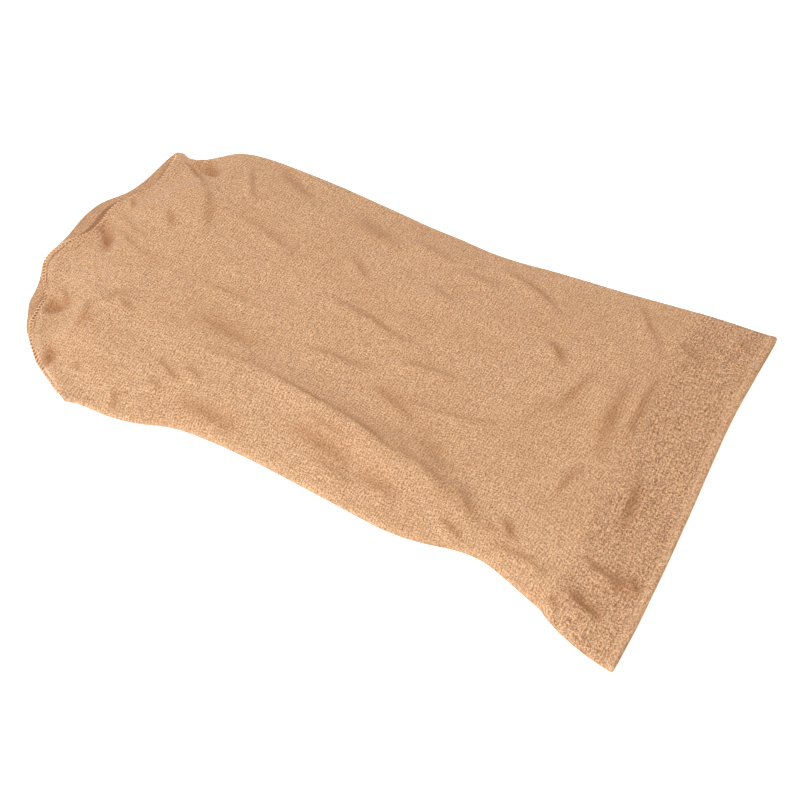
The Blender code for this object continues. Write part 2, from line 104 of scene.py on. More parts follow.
# Fine creases of the upper layer, in millimetres: ridges as high as rise, or hollows where it is below zero.
# Each has a steep side to the left of its route and a gentle one to its right, with these widths.
# Each also gives painted shade along its foot, or in its middle where it is a hollow.
Crease = namedtuple("Crease", "name route rise steep gentle")
CREASE_ROWS = (
    ("far_thin", ((-62.5, 44.3), (-57.6, 37.0), (-53.3, 30.0)), 0.63, 0.8, 1.4),
    ("far_band", ((-57.0, 48.5), (-51.4, 45.4), (-44.7, 42.0), (-36.4, 38.0)), 0.95, 1.6, 3.0),
    ("ear_trail", ((-69.5, 30.1), (-63.5, 23.5), (-60.1, 17.2), (-57.6, 11.0)), 0.63, 1.1, 2.4),
    ("toe_spot", ((-72.5, 15.6), (-69.6, 12.6), (-66.8, 8.9)), 0.80, 1.2, 2.0),
    ("gather_a", ((-88.3, 8.4), (-79.7, 3.2), (-70.5, -1.2), (-60.3, -3.6)), 0.50, 0.9, 1.6),
    ("gather_b", ((-86.5, 11.8), (-78.2, 6.1), (-69.4, 2.2)), 0.42, 0.9, 1.4),
    ("toe_nick", ((-85.9, 17.0), (-82.2, 12.8)), 0.82, 0.8, 1.2),
    ("toe_arc", ((-73.4, -21.2), (-71.7, -25.4), (-70.9, -29.4), (-71.3, -33.9)), 0.75, 1.5, 2.6),
    ("notch_low", ((-51.3, -41.8), (-49.8, -45.2), (-48.7, -48.5)), 0.75, 1.2, 2.2),
    ("toe_band", ((-69.3, -22.2), (-66.4, -18.0), (-62.9, -13.5)), 0.69, 1.4, 2.2),
    ("toe_band_b", ((-65.1, -18.9), (-59.8, -21.0)), 0.63, 1.2, 1.8),
    ("left_upper", ((-46.9, -14.4), (-40.3, -14.8), (-33.0, -15.5), (-22.3, -16.0)), 0.75, 2.4, 3.0),
    ("left_lower", ((-38.7, -22.3), (-29.4, -22.2), (-20.0, -21.6), (-12.0, -22.0)), 0.45, 1.2, 2.4),
    ("left_nick", ((-46.0, -30.4), (-41.7, -32.4), (-35.8, -34.8)), 0.76, 1.0, 1.8),
    ("left_nick_b", ((-38.0, -29.3), (-31.0, -31.6)), 0.63, 1.0, 1.8),
    ("left_nick_c", ((-44.7, -36.4), (-39.2, -38.3)), 0.63, 1.0, 1.8),
    ("near_shade", ((-35.8, -38.8), (-28.4, -39.1), (-21.4, -39.7), (-14.1, -38.8)), 0.82, 2.0, 3.0),
    ("far_long", ((-55.6, 23.0), (-46.3, 21.7), (-35.9, 18.5), (-26.9, 14.0)), 0.57, 1.4, 2.6),
    ("soft_long", ((-48.5, -2.4), (-37.8, -3.6), (-29.0, -3.7)), 0.44, 1.0, 2.4),
    ("main_b", ((-17.6, -21.9), (-9.9, -23.0), (-3.7, -23.9), (3.0, -24.4), (9.2, -25.2)), 0.95, 0.9, 3.4),
    ("main_c", ((3.4, -24.5), (9.2, -25.2), (15.4, -26.7), (21.2, -28.6), (27.4, -30.6)), 0.85, 0.9, 3.4),
    ("main_d", ((21.8, -27.4), (28.3, -28.9), (34.3, -30.2), (39.8, -32.4), (43.7, -35.4)), 0.75, 1.3, 3.4),
    ("main_shade", ((25.2, -18.2), (30.2, -23.0), (34.6, -26.2), (40.2, -28.9)), 0.60, 2.2, 3.0),
    ("main_e", ((39.2, -29.2), (44.1, -31.4), (47.1, -34.0), (51.1, -36.5)), 0.69, 1.4, 2.8),
    ("main_f", ((49.7, -36.0), (54.8, -36.3), (59.2, -36.6)), 0.52, 1.2, 2.4),
    ("mid_a", ((-18.9, 7.6), (-10.5, 7.7), (-1.6, 6.4), (6.6, 4.6), (14.4, 4.4)), 0.82, 1.0, 2.4),
    ("mid_b", ((-18.0, 25.0), (-14.3, 21.7), (-8.5, 17.9)), 0.69, 1.2, 2.0),
    ("mid_c", ((-15.0, -9.8), (-6.9, -9.0), (0.7, -8.8), (8.0, -7.9)), 0.76, 1.1, 2.4),
    ("mid_d", ((10.4, -2.6), (18.1, -1.5), (28.7, -0.6)), 0.69, 1.1, 2.4),
    ("mid_e", ((8.1, -12.5), (13.7, -14.1), (19.4, -16.1), (23.7, -17.7)), 0.88, 1.6, 2.6),
    ("mid_f", ((15.7, -12.4), (25.5, -12.5), (35.6, -11.1), (44.5, -7.3)), 0.50, 0.9, 2.0),
    ("arc_a", ((58.7, 19.7), (56.2, 12.4), (54.3, 5.5), (52.2, -1.1)), 0.76, 1.0, 2.2),
    ("arc_b", ((51.8, 7.3), (49.7, 1.9), (47.6, -4.3)), 0.57, 1.0, 1.8),
    ("far_dark", ((-26.9, 40.8), (-20.7, 37.8), (-13.9, 35.8), (-7.0, 33.7)), 0.88, 2.4, 3.2),
    ("far_c", ((-7.6, 39.7), (0.0, 38.2), (9.3, 35.9)), 0.82, 1.5, 2.4),
    ("far_d", ((9.6, 35.1), (16.2, 34.2), (24.0, 34.3)), 0.76, 1.1, 2.2),
    ("far_e", ((18.4, 42.4), (26.3, 39.8), (34.0, 37.4), (42.2, 32.3)), 1.01, 1.1, 2.4),
    ("far_f", ((6.0, 25.4), (11.3, 23.2), (15.5, 22.2)), 0.57, 1.2, 2.0),
    ("elbow", ((41.9, 22.5), (44.9, 21.1), (47.3, 18.9), (49.7, 16.1)), 1.25, 1.3, 2.6),
    ("near_dark", ((-5.4, -33.3), (2.0, -34.0), (10.3, -35.4), (16.2, -36.8)), 0.82, 2.0, 2.6),
    ("near_dark_b", ((17.8, -37.6), (24.5, -38.5), (30.8, -39.8)), 0.76, 1.6, 2.2),
    ("far_arc", ((57.4, 50.2), (62.8, 42.1), (68.0, 36.1), (72.1, 30.1)), 0.70, 1.2, 2.8),
    ("welt_a", ((72.7, 27.0), (72.7, 18.2), (72.8, 8.2), (73.6, -1.0)), 0.85, 1.2, 1.8),
    ("welt_b", ((66.6, 21.5), (66.7, 11.4), (67.4, 2.2), (68.6, -7.8)), 0.90, 1.8, 2.8),
    ("waist", ((67.1, -9.8), (65.1, -16.0), (64.2, -22.3)), 0.82, 1.0, 2.2),
    ("welt_step", ((80.7, -4.4), (81.6, -10.7), (82.0, -16.7), (82.5, -24.9)), 1.00, 1.3, 2.6),
    ("corner_a", ((77.4, -33.2), (80.6, -35.3), (85.0, -36.8), (89.0, -39.2)), 1.13, 1.2, 2.0),
    ("corner_b", ((77.2, -42.4), (81.0, -45.0), (85.1, -46.2), (88.7, -47.4)), 1.51, 1.4, 2.2),
    ("corner_c", ((86.5, -34.5), (88.8, -37.7), (90.6, -40.4)), 1.07, 2.0, 2.4),
    ("corner_d", ((89.6, -34.0), (93.4, -37.4)), 0.95, 1.0, 1.8),
    ("tail_spot", ((55.6, -31.9), (58.1, -34.3), (60.4, -37.2)), 1.01, 1.3, 2.0),
    ("tail_nick", ((41.6, -39.3), (45.5, -40.4), (49.4, -41.6)), 0.95, 0.9, 1.8),
    ("tail_line", ((54.3, -38.6), (60.7, -39.5), (66.8, -40.1), (72.5, -42.3)), 0.69, 1.0, 2.0),
    ("corner_e", ((73.9, -46.2), (78.6, -48.7)), 0.76, 1.2, 1.8),
    ("welt_c", ((73.5, 40.1), (78.7, 35.5), (82.4, 31.7)), 0.63, 1.6, 2.4),
    ("welt_d", ((86.0, 49.7), (89.9, 44.7)), 0.63, 1.2, 1.8),
    ("near_row", ((-3.4, -28.6), (6.1, -29.9), (12.9, -30.7)), 0.50, 0.9, 1.8),
    ("near_row_b", ((2.0, -38.1), (11.3, -39.2), (20.4, -40.2)), 0.50, 0.9, 1.8),
    ("ear", ((-82.6, 38.6), (-78.2, 36.2), (-74.3, 33.6), (-70.6, 30.9), (-67.1, 27.6)), 0.95, 0.8, 2.2),
    ("ear_pit", ((-78.6, 39.6), (-74.6, 38.0), (-71.4, 36.2), (-68.6, 33.6)), -2.20, 1.7, 2.0),
    ("pocket_b", ((-90.0, 5.6), (-86.0, 2.4), (-83.0, -0.9), (-80.3, -5.4)), -1.70, 1.4, 1.8),
    ("pit_a", ((-86.6, -27.6), (-82.4, -27.4), (-77.6, -25.2)), -1.80, 1.8, 2.4),
    ("pit_a_side", ((-84.8, -20.0), (-80.3, -22.9), (-77.2, -26.6)), 0.82, 0.9, 1.6),
    ("pit_b", ((-71.6, -44.8), (-72.5, -40.4), (-72.6, -37.0)), -1.40, 1.4, 1.9),
    ("pit_c", ((-65.6, -40.4), (-62.4, -42.4)), 0.57, 1.2, 1.8),
)
CREASES = [Crease(*row) for row in CREASE_ROWS]

# The upper layer's edge at the toe, from the far ear to the near side, in millimetres. Beyond it the lower
# layer shows as a strip, with painted shade on it. gap is the width of the gap between them, tone how deep the
# gap and the strip lie and how dark their painted shade is, and sewn how open its stitches are.
ToePlace = namedtuple("ToePlace", "x y gap tone sewn")
TOE_ROWS = (
    (-85.6, 38.4, 0.5, 0.9, 0.0),
    (-84.4, 32.2, 0.6, 1.0, 0.0),
    (-84.1, 25.9, 0.6, 1.0, 0.0),
    (-85.6, 22.3, 0.6, 0.9, 0.0),
    (-87.1, 19.2, 0.6, 0.8, 0.0),
    (-88.6, 17.1, 0.7, 0.8, 0.0),
    (-89.7, 15.1, 1.0, 0.8, 0.0),
    (-90.2, 11.3, 1.7, 1.0, 0.0),
    (-89.9, 8.3, 2.1, 1.0, 0.0),
    (-89.9, 3.4, 1.9, 1.0, 0.0),
    (-91.4, -0.9, 1.2, 0.9, 0.2),
    (-92.8, -3.8, 0.8, 0.7, 0.6),
    (-93.7, -6.8, 0.5, 0.5, 1.0),
    (-94.5, -11.3, 0.4, 0.5, 1.0),
    (-93.8, -14.8, 0.4, 0.5, 1.0),
    (-91.9, -17.9, 0.4, 0.5, 1.0),
    (-89.3, -21.0, 0.6, 0.6, 0.9),
    (-86.9, -23.7, 1.1, 1.0, 0.5),
    (-86.6, -25.7, 1.3, 1.0, 0.3),
    (-85.6, -30.8, 1.0, 0.9, 0.5),
    (-84.3, -34.3, 0.5, 0.6, 0.8),
    (-80.9, -38.9, 0.4, 0.4, 0.6),
    (-76.3, -42.6, 0.3, 0.3, 0.2),
    (-71.0, -45.8, 0.3, 0.2, 0.0),
    (-65.1, -48.9, 0.3, 0.1, 0.0),
)
TOE_EDGE = [ToePlace(*row) for row in TOE_ROWS]
# How far inwards the cloth moves with that edge, how far the edge may move, how near to the outline it may
# come, how wide a piece of the outline is looked at to find it, and where the edge's marks end
EDGE_REACH = 7 * MM
EDGE_MOST = EDGE_REACH / 2
EDGE_LEAST = 0.6 * MM
EDGE_LOOK = 1.5 * MM
EDGE_FURTHEST = 12 * MM
# The edge's rounded lip: its height, place and half width
LIP = (0.30 * MM, 0.9 * MM, 0.7 * MM)
# How deep the strip and the gap lie beside it, and the widths of their slopes
STRIP_DROP = 0.55 * MM
GAP_DROP = 0.9 * MM
STRIP_SLOPE = 1 * MM
GAP_SOFTNESS = 0.3 * MM
# Between these heights the strip begins at the outline
STRIP_LOW = 0.9 * MM
STRIP_HIGH = 1.5 * MM
# The ear at the toe's far corner: its tip, how far it is pulled out, and how far the pull reaches
EAR_TIP = (-85.6 * MM, 40.2 * MM)
EAR_PULL = (0.9 * MM, 1.5 * MM)
EAR_REACH = 2.6 * MM
# The toe's stitches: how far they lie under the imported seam's middle, how much deeper where the edge hides
# them, their lean in radians, how much it swings, and how fast from stitch to stitch
STITCH_SINK = 0.10 * MM
HIDDEN_DROP = 1.6 * MM
STITCH_LEAN = 0.35
LEAN_SWING = 0.25
LEAN_STEP = 5.1
# The sides of a stitch's ring, round it and round its thread
RING_SIDES = (10, 5)

# Steps of a smooth line from one given point to the next
CURVE_STEPS = 8
# A ridge's crest lies this share of its steep side to the right of its route, and reaches this many widths
CREST_SHARE = 0.7
CREASE_REACH = 3
# How soon a crease fades towards its ends
FADE_POWER = 0.9
# Where a ridge's foot lies and how broad it is, in shares of its steep side, how deep its painted shade grows
# for each millimetre of rise, and the deepest that it gets
FOOT_SHARE = 1.0
FOOT_WIDTH = 1.25
FOOT_SHADE = 0.48
FOOT_MOST = 0.7

# The lights: their turns and tilts in degrees, seen from the cap, their distance and their size
KEY_TURN = -22
KEY_TILT = 50
BACK_TURN = 170
BACK_TILT = 30
LIGHT_DISTANCE = 1.0
LIGHT_SIZE = 0.35
# Between these heights of view the pale horizon passes into the sky, as sines of the angle
HORIZON = (0.14, 0.24)
# The floor's width, and how far it lies below the cap's underside, which would flicker on it otherwise
FLOOR_SIZE = 6
FLOOR_DROP = 0.1 * MM
# The camera's sensor in millimetres, and the nearest that it sees
SENSOR_WIDTH = 36
NEAREST_SEEN = 0.01
WHITE = (1.0, 1.0, 1.0, 1.0)

# Soft unevenness of the cloth: the height of its swells, their length along the cap and their breadth across
Swell = namedtuple("Swell", "height length breadth")
SWELLS = (
    Swell(0.45 * MM, 34 * MM, 8 * MM),
    Swell(0.24 * MM, 12 * MM, 11 * MM),
    Swell(0.14 * MM, 9 * MM, 3.6 * MM),
)

# The mouth's turned edge: a bead along the lip and a fine line behind it, with their heights, places and half
# widths
Hem = namedtuple("Hem", "height inwards half_width")
HEM = (Hem(0.16 * MM, 1.2 * MM, 0.9 * MM), Hem(-0.14 * MM, 2.7 * MM, 0.5 * MM))

# Between these places the turned edge ends, the welt's holes end and its looser rows begin, measured from the
# mouth, and the body takes on the welt's tone, measured along the cap
HEM_TONE = (1.82 * MM, 3.38 * MM)
WELT_HOLES = (18 * MM, 22 * MM)
OPEN_ROWS = (14 * MM, 16 * MM)
BODY_END = (68 * MM, 77 * MM)
# How far these places wander, and the shares of it by which the looser rows and the turned edge do
WANDERING = 6 * MM
ROWS_WANDER = 0.4
HEM_WANDER = 0.15
# How fast the rows of the knit wander and jitter, and the cells of its grain to the metre
WANDER_SCALE = 330
JITTER_SCALE = 1000
GRAIN_SCALE = 7000
# How far the body's and the welt's wales and courses stand out
BODY_RELIEF = (0.11, 0.14)
WELT_RELIEF = (0.38, 0.62)
# Patches of another tone: the scale and detail of their noise, the values between which they show, and their
# strength
Patches = namedtuple("Patches", "scale detail low high tone")
STREAKS = Patches(110, 2.0, 0.35, 0.70, 0.16)
LOOSE_PARTS = Patches(60, 1.0, 0.42, 0.60, 0.35)
LADDERS = Patches(900, 2.0, 0.55, 0.75, 0.24)
# Dark specks: the scale of their grains, the values between which they show, and their strength
SPECK_SCALE = 3000
SPECKS = (0.82, 0.92)
SPECK_TONE = 0.40
# The dark holes of the welt: the scale and size of their unevenness, the values between which they open,
# their tone and depth, how much weaker they are in the turned edge, and the depth of the rows between them
HOLE_SCALE = 760
HOLE_SPREAD = 2.4
HOLES_OPEN = (0.55, 1.4)
HOLE_TONE = 0.36
HOLE_DEPTH = 0.6
HEM_HOLES = 0.4
GRID_HEIGHT = 0.2
# The welt's fuzz as a share of the body's, the tones of the turned edge and of the body's end, and the depths
# of the two cloths' bumps
WELT_FUZZ = 1.4
TURNED_TONE = 0.18
BODY_END_TONE = 0.6
BODY_BUMP = 0.06 * MM
WELT_BUMP = 0.1 * MM
# How dark the seam's yarn gets between its twists
YARN_DARK = 0.8
# The cloth's roughness and its soft sheen
ROUGHNESS = 0.9
FUZZY = {
    "Sheen_Weight": 0.12,
    "Sheen_Roughness": 0.5,
    "Sheen_Tint": (1.0, 0.9, 0.8, 1.0),
    "Specular_IOR_Level": 0.2,
}

# The toe's stitches in the cloth, in millimetres, and how unevenly they follow each other
STITCH_PITCH = 1.1
STITCH_JITTER = 0.6
# The unevenness of the toe's edge, in millimetres
RAGGED = 0.5
# Lines along the toe's edge, in millimetres: where each lies, how far it is whole and where it has faded
Band = namedtuple("Band", "middle whole faded")
LIP_BAND = Band(0.35, 0.1, 0.5)
HOLE_BAND = Band(0.75, 0.15, 0.55)
THREAD_BAND = Band(0.6, 0.2, 0.7)
# Between these distances past the edge the strip comes up, and the painted shade in the gap fades past its
# sides
STRIP_EDGE = (0.2, 0.9)
GAP_FADE = (-0.2, 0.3)
# Between these values a stitch's wave gives its hole or its thread
STITCH_EDGE = (0.2, 0.9)
# How strongly each of these marks shows in the colour, and how far it stands out in the bump. The strip's and
# the gap's colours are painted shade.
ToeMarks = namedtuple("ToeMarks", "strip lip thread gap hole")
TOE_TONES = ToeMarks(strip=0.3, lip=0.8, thread=0.5, gap=0.62, hole=0.8)
TOE_RELIEF = ToeMarks(strip=0, lip=0, thread=0.8, gap=-0.8, hole=-1.5)


def smoothed(points):
    """Points of a smooth line through a few given ones, in metres."""
    given = [Vector(p) * MM for p in points]
    last = len(given) - 1
    line = []
    for i in range(last):
        before, after = given[max(i - 1, 0)], given[min(i + 2, last)]
        start, end = given[i], given[i + 1]
        for step in range(CURVE_STEPS):
            t = step / CURVE_STEPS
            line.append(
                0.5 * (2 * start + (end - before) * t)
                + 0.5 * (2 * before - 5 * start + 4 * end - after) * t**2
                + 0.5 * (3 * start - before - 3 * end + after) * t**3
            )
    line.append(given[last])
    return np.array([tuple(p) for p in line])


def arc_lengths(line):
    """The length along a line to each of its points."""
    return np.concatenate([[0], np.cumsum(np.linalg.norm(np.diff(line, axis=0), axis=1))])


def nearest(line, plan):
    """Each point's distance from a line, below zero on its right, and the length along the line to the place
    nearest to it."""
    steps = np.diff(line, axis=0)
    lengths = np.linalg.norm(steps, axis=1)
    starts = arc_lengths(line)
    best = np.full(len(plan), np.inf)
    sign = np.ones(len(plan))
    arc = np.zeros(len(plan))
    for i, length in enumerate(lengths):
        along = steps[i] / length
        offset = plan - line[i]
        t = np.clip(offset @ along, 0, length)
        away = offset - t[:, None] * along
        distance = np.linalg.norm(away, axis=1)
        nearer = distance < best
        best[nearer] = distance[nearer]
        sign[nearer] = np.sign(along[0] * offset[:, 1] - along[1] * offset[:, 0])[nearer]
        arc[nearer] = (starts[i] + t)[nearer]
    return sign * best, arc


def bell(distance, half_width):
    """1 at no distance, falling smoothly to about a third at the half width."""
    return np.exp(-((distance / half_width) ** 2))


def add_crease(height, shade, crease, plan):
    """Adds one crease's height at the points of the plan near it, and painted shade along its foot, or in
    the middle of a hollow."""
    line = smoothed(crease.route)
    reach = CREASE_REACH * max(crease.steep, crease.gentle) * MM
    near = ((plan > line.min(axis=0) - reach) & (plan < line.max(axis=0) + reach)).all(axis=1)
    distance, arc = nearest(line, plan[near])
    steep = crease.steep * MM
    from_crest = np.sign(crease.rise) * distance + CREST_SHARE * steep
    width = np.where(from_crest > 0, steep, crease.gentle * MM)
    share = arc / arc_lengths(line)[-1]
    fade = np.sin(np.pi * share) ** FADE_POWER
    height[near] += crease.rise * MM * fade * bell(from_crest, width)
    from_foot = from_crest - (FOOT_SHARE * steep if crease.rise > 0 else 0)
    # Painted shade: a darker tone along the ridge's foot, or in the middle of a hollow
    shade[near] += min(FOOT_SHADE * abs(crease.rise), FOOT_MOST) * fade * bell(from_foot, FOOT_WIDTH * steep)


def smoothstep(low, high, value):
    t = np.clip((value - low) / (high - low), 0, 1)
    return t * t * (3 - 2 * t)


def coordinates(mesh):
    points = np.empty(len(mesh.vertices) * 3, np.float32)
    mesh.vertices.foreach_get("co", points)
    return points.reshape(-1, 3).astype(float)


def move_points(mesh, points):
    mesh.vertices.foreach_set("co", points.astype(np.float32).ravel())
    mesh.update()


def mark_points(mesh, name, values):
    """A value for each point, which the material reads."""
    mark = mesh.attributes.new(name, "FLOAT", "POINT")
    mark.data.foreach_set("value", values.astype(np.float32))


def facing_up(mesh):
    """True for each point whose normal looks up."""
    found = np.empty(len(mesh.vertices) * 3, np.float32)
    mesh.vertices.foreach_get("normal", found)
    return found[2::3] > 0


def upper_share(points):
    """0 at the lower layer's points and 1 at the upper layer's."""
    return smoothstep(LAYER_LOW, LAYER_HIGH, points[:, 2])


def side_edges():
    """The places along the cap, and its near and far edges there."""
    nodes = [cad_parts["cap_body"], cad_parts["welt_band"]]
    points = np.concatenate([coordinates(node.data) for node in nodes])
    stations = np.linspace(TOE_STRAIGHT_X, cad_high.x - END_MARGIN, SIDE_STATIONS)
    step = stations[1] - stations[0]
    near, far = [], []
    for x in stations:
        beside = points[np.abs(points[:, 0] - x) < step, 1]
        near.append(beside.min())
        far.append(beside.max())
    return stations, np.array(near), np.array(far)


def mouth_edge():
    """The places across the cap, and how far the mouth reaches there."""
    points = coordinates(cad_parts["welt_band"].data)
    stations = np.linspace(cad_low.y + END_MARGIN, cad_high.y - END_MARGIN, MOUTH_STATIONS)
    step = stations[1] - stations[0]
    return stations, np.array([points[np.abs(points[:, 1] - y) < step, 0].max() for y in stations])


def swell(plan):
    """Soft random unevenness."""
    total = np.zeros(len(plan))
    for height, length, breadth in SWELLS:
        total += height * np.array([noise.noise((x / length, y / breadth, length / MM)) for x, y in plan])
    return total


def press_creases(mesh, depth):
    """Moves the upper layer's points up and down by the creases and the soft unevenness, and keeps the
    painted shade of the creases on the points for the material.
    """
    points = coordinates(mesh)
    plan = points[:, :2]
    height = swell(plan)
    shade = np.zeros(len(plan))
    for crease in CREASES:
        add_crease(height, shade, crease, plan)
    upper = upper_share(points)
    # Painted shade at the creases' feet and in the hollows, on the upper layer only
    mark_points(mesh, "Fold", np.clip(shade, 0, 1) * upper)
    floor = np.where(facing_up(mesh), PRESSED_OUTSIDE, PRESSED_INSIDE)
    moved = points[:, 2] + depth * height * upper
    points[:, 2] = np.maximum(moved, np.minimum(points[:, 2], floor))
    move_points(mesh, points)


def toe_edge():
    """The upper layer's edge at the toe as a smooth line, and the length along it to each given place."""
    line = smoothed([(place.x, place.y) for place in TOE_EDGE])
    return line, arc_lengths(line)[::CURVE_STEPS]


def move_toe_edge(mesh, route):
    """Moves the toe's upper skin sideways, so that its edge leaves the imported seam's even line for the real
    one, and pulls out the ear at its far corner."""
    points = coordinates(mesh)
    plan = points[:, :2]
    seam = route[::-1, :2]
    along = np.gradient(seam, axis=0)
    along /= np.linalg.norm(along, axis=1)[:, None]
    inwards = np.stack([-along[:, 1], along[:, 0]], axis=1)
    room = []
    for place, ahead, inside in zip(seam, along, inwards):
        offset = plan - place
        depth = offset @ inside
        beside = (np.abs(offset @ ahead) < EDGE_LOOK) & (depth < 0) & (depth > -EDGE_REACH)
        room.append(-depth[beside].min())
    room = np.array(room)
    shift = -nearest(toe_edge()[0], seam)[0]
    shift = np.clip(shift, EDGE_LEAST - room, EDGE_MOST)
    distance, arc = nearest(seam, plan)
    starts = arc_lengths(seam)
    outside = np.interp(arc, starts, room)
    share = np.where(distance > 0, 1 - distance / EDGE_REACH, 1 + distance / outside)
    push = np.interp(arc, starts, shift) * np.clip(share, 0, 1) * upper_share(points)
    for k in range(2):
        points[:, k] += push * np.interp(arc, starts, inwards[:, k])
    tip = bell(np.linalg.norm(plan - np.array(EAR_TIP), axis=1), EAR_REACH)
    points[:, :2] += tip[:, None] * np.array(EAR_PULL)
    move_points(mesh, points)


def mark_toe_edge(mesh):
    """Shapes the upper layer's lip, the gap and the strip at the toe, and marks them for the material, with a
    UV map of the distance from the edge and the length along it."""
    points = coordinates(mesh)
    line, lengths = toe_edge()
    distance, arc = nearest(line, points[:, :2])
    distance = np.clip(distance, -EDGE_FURTHEST, EDGE_FURTHEST)
    upper = smoothstep(STRIP_LOW, STRIP_HIGH, points[:, 2]) * facing_up(mesh)
    close = 1 - smoothstep(EDGE_FURTHEST / 2, EDGE_FURTHEST, np.abs(distance))
    marks = {}
    for name in ("gap", "tone", "sewn"):
        marks[name] = np.interp(arc, lengths, [getattr(place, name) for place in TOE_EDGE]) * close
    half_gap = marks["gap"] * MM / 2
    tone = marks["tone"]
    height, centre, half_width = LIP
    lip = height * bell(distance - centre, half_width)
    in_gap = bell(distance + half_gap, GAP_SOFTNESS + half_gap) * tone
    strip = smoothstep(0, STRIP_SLOPE, -distance) * tone
    shaped = (lip - GAP_DROP * in_gap - STRIP_DROP * strip) * np.clip(2 * tone, 0, 1)
    points[:, 2] = np.maximum(points[:, 2] + upper * shaped, np.minimum(points[:, 2], PRESSED_OUTSIDE))
    move_points(mesh, points)
    for name, values in marks.items():
        mark_points(mesh, "Toe_" + name, values * upper)
    add_map(mesh, "Toe", distance / MM, arc / MM)


def turn_hem(mesh):
    """Shapes the mouth's turned edge in the upper layer's outside."""
    points = coordinates(mesh)
    inwards = np.interp(points[:, 1], *mouth_edge()) - points[:, 0]
    upper = upper_share(points) * facing_up(mesh)
    for part in HEM:
        points[:, 2] += upper * part.height * bell(inwards - part.inwards, part.half_width)
    move_points(mesh, points)


def add_map(mesh, name, across, along):
    """A UV map with two values for each point."""
    layer = mesh.uv_layers.new(name=name)
    corners = np.empty(len(mesh.loops), np.int32)
    mesh.loops.foreach_get("vertex_index", corners)
    layer.data.foreach_set("uv", np.stack([across[corners], along[corners]], 1).astype(np.float32).ravel())


def map_knit(mesh, wale, course, from_mouth=False):
    """A UV map in stitches: across the cap in wales, which follow its side edges, and along it in courses."""
    stations, near, far = side_edges()
    points = coordinates(mesh)
    start = np.interp(points[:, 1], *mouth_edge()) if from_mouth else 0
    x = np.clip(points[:, 0], stations[0], stations[-1])
    middle = np.interp(x, stations, (near + far) / 2)
    width = np.interp(x, stations, far - near)
    even_width = (far - near).mean()
    across = (points[:, 1] - middle) / width * even_width / wale
    along = (points[:, 0] - start) / course
    add_map(mesh, "Knit", across, along)


def only_select(piece):
    bpy.ops.object.select_all(action="DESELECT")
    piece.hide_set(False)
    piece.select_set(True)
    bpy.context.view_layer.objects.active = piece


def apply_modifier(piece, kind, **settings):
    only_select(piece)
    modifier = piece.modifiers.new(kind.title(), kind)
    for name, value in settings.items():
        setattr(modifier, name, value)
    bpy.ops.object.modifier_apply(modifier=modifier.name)


def merged_copy(node_name, piece_name):
    """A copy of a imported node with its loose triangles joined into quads."""
    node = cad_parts[node_name]
    piece = bpy.data.objects.new(piece_name, node.data.copy())
    bpy.context.scene.collection.objects.link(piece)
    piece.data.name = piece_name
    piece.data.materials.clear()
    only_select(piece)
    bpy.ops.object.mode_set(mode="EDIT")
    bpy.ops.mesh.select_all(action="SELECT")
    bpy.ops.mesh.remove_doubles(threshold=WELD)
    bpy.ops.mesh.tris_convert_to_quads(face_threshold=QUAD_FLATNESS, shape_threshold=QUAD_SHAPE)
    bpy.ops.mesh.normals_make_consistent(inside=False)
    bpy.ops.object.mode_set(mode="OBJECT")
    return piece


def refine_upper_skin(piece):
    """Splits the faces of the upper layer's outside once more, where the fine creases go."""
    only_select(piece)
    bpy.ops.object.mode_set(mode="EDIT")
    bpy.ops.mesh.select_mode(type="FACE")
    bpy.ops.mesh.select_all(action="DESELECT")
    work = bmesh.from_edit_mesh(piece.data)
    for face in work.faces:
        face.select = face.normal.z > UPPER_FACING and face.calc_center_median().z > UPPER_LOW
    work.select_flush(True)
    bmesh.update_edit_mesh(piece.data)
    bpy.ops.mesh.subdivide(number_cuts=1)
    bpy.ops.object.mode_set(mode="OBJECT")


def crease_join(mesh, facing, lap=0.0, sink=0.0):
    """Keeps the cut end that meets the next piece sharp, and tucks it under that piece's skin."""
    work = bmesh.new()
    work.from_mesh(mesh)
    crease = work.edges.layers.float.new("crease_edge")
    moved = set()
    for face in work.faces:
        at_join = JOIN_X < face.calc_center_median().x < cad_high.x - JOIN_TO_MOUTH
        if at_join and face.normal.x * facing > JOIN_FACING:
            for edge in face.edges:
                edge[crease] = 1.0
            moved.update(face.verts)
    middle = sum(vertex.co.z for vertex in moved) / len(moved)
    for vertex in moved:
        vertex.co.x += lap
        vertex.co.z -= math.copysign(sink, vertex.co.z - middle)
    work.to_mesh(mesh)
    work.free()


def dress(piece, node_name, material):
    only_select(piece)
    bpy.ops.object.shade_smooth_by_angle(angle=SMOOTH_ANGLE)
    piece.data.materials.append(material)
    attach(piece, "root")
    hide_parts(node_name)


class Socket:
    """One output of a material's nodes, which sums can be written with."""

    def __init__(self, nodes, output):
        self.nodes = nodes
        self.output = output

    def _math(self, operation, *values):
        return self.nodes.add("ShaderNodeMath", {"operation": operation}, dict(enumerate(values)))

    def __add__(self, other):
        return self._math("ADD", self, other)

    def __radd__(self, other):
        return self._math("ADD", other, self)

    def __sub__(self, other):
        return self._math("SUBTRACT", self, other)

    def __rsub__(self, other):
        return self._math("SUBTRACT", other, self)

    def __neg__(self):
        return self._math("SUBTRACT", 0, self)

    def __mul__(self, other):
        return self._math("MULTIPLY", self, other)

    def __rmul__(self, other):
        return self._math("MULTIPLY", other, self)

    def __truediv__(self, other):
        return self._math("DIVIDE", self, other)

    def __abs__(self):
        return self._math("ABSOLUTE", self)

    def wave(self):
        """1 at each whole number and -1 halfway between."""
        return self._math("COSINE", self * (2 * math.pi))

    def clamped(self):
        return self.nodes.add("ShaderNodeClamp", {}, {"Value": self})

    def ramp(self, low, high):
        """0 at low and 1 at high, smooth between them."""
        inputs = {"Value": self, "From Min": low, "From Max": high}
        return self.nodes.add("ShaderNodeMapRange", {"interpolation_type": "SMOOTHSTEP"}, inputs)


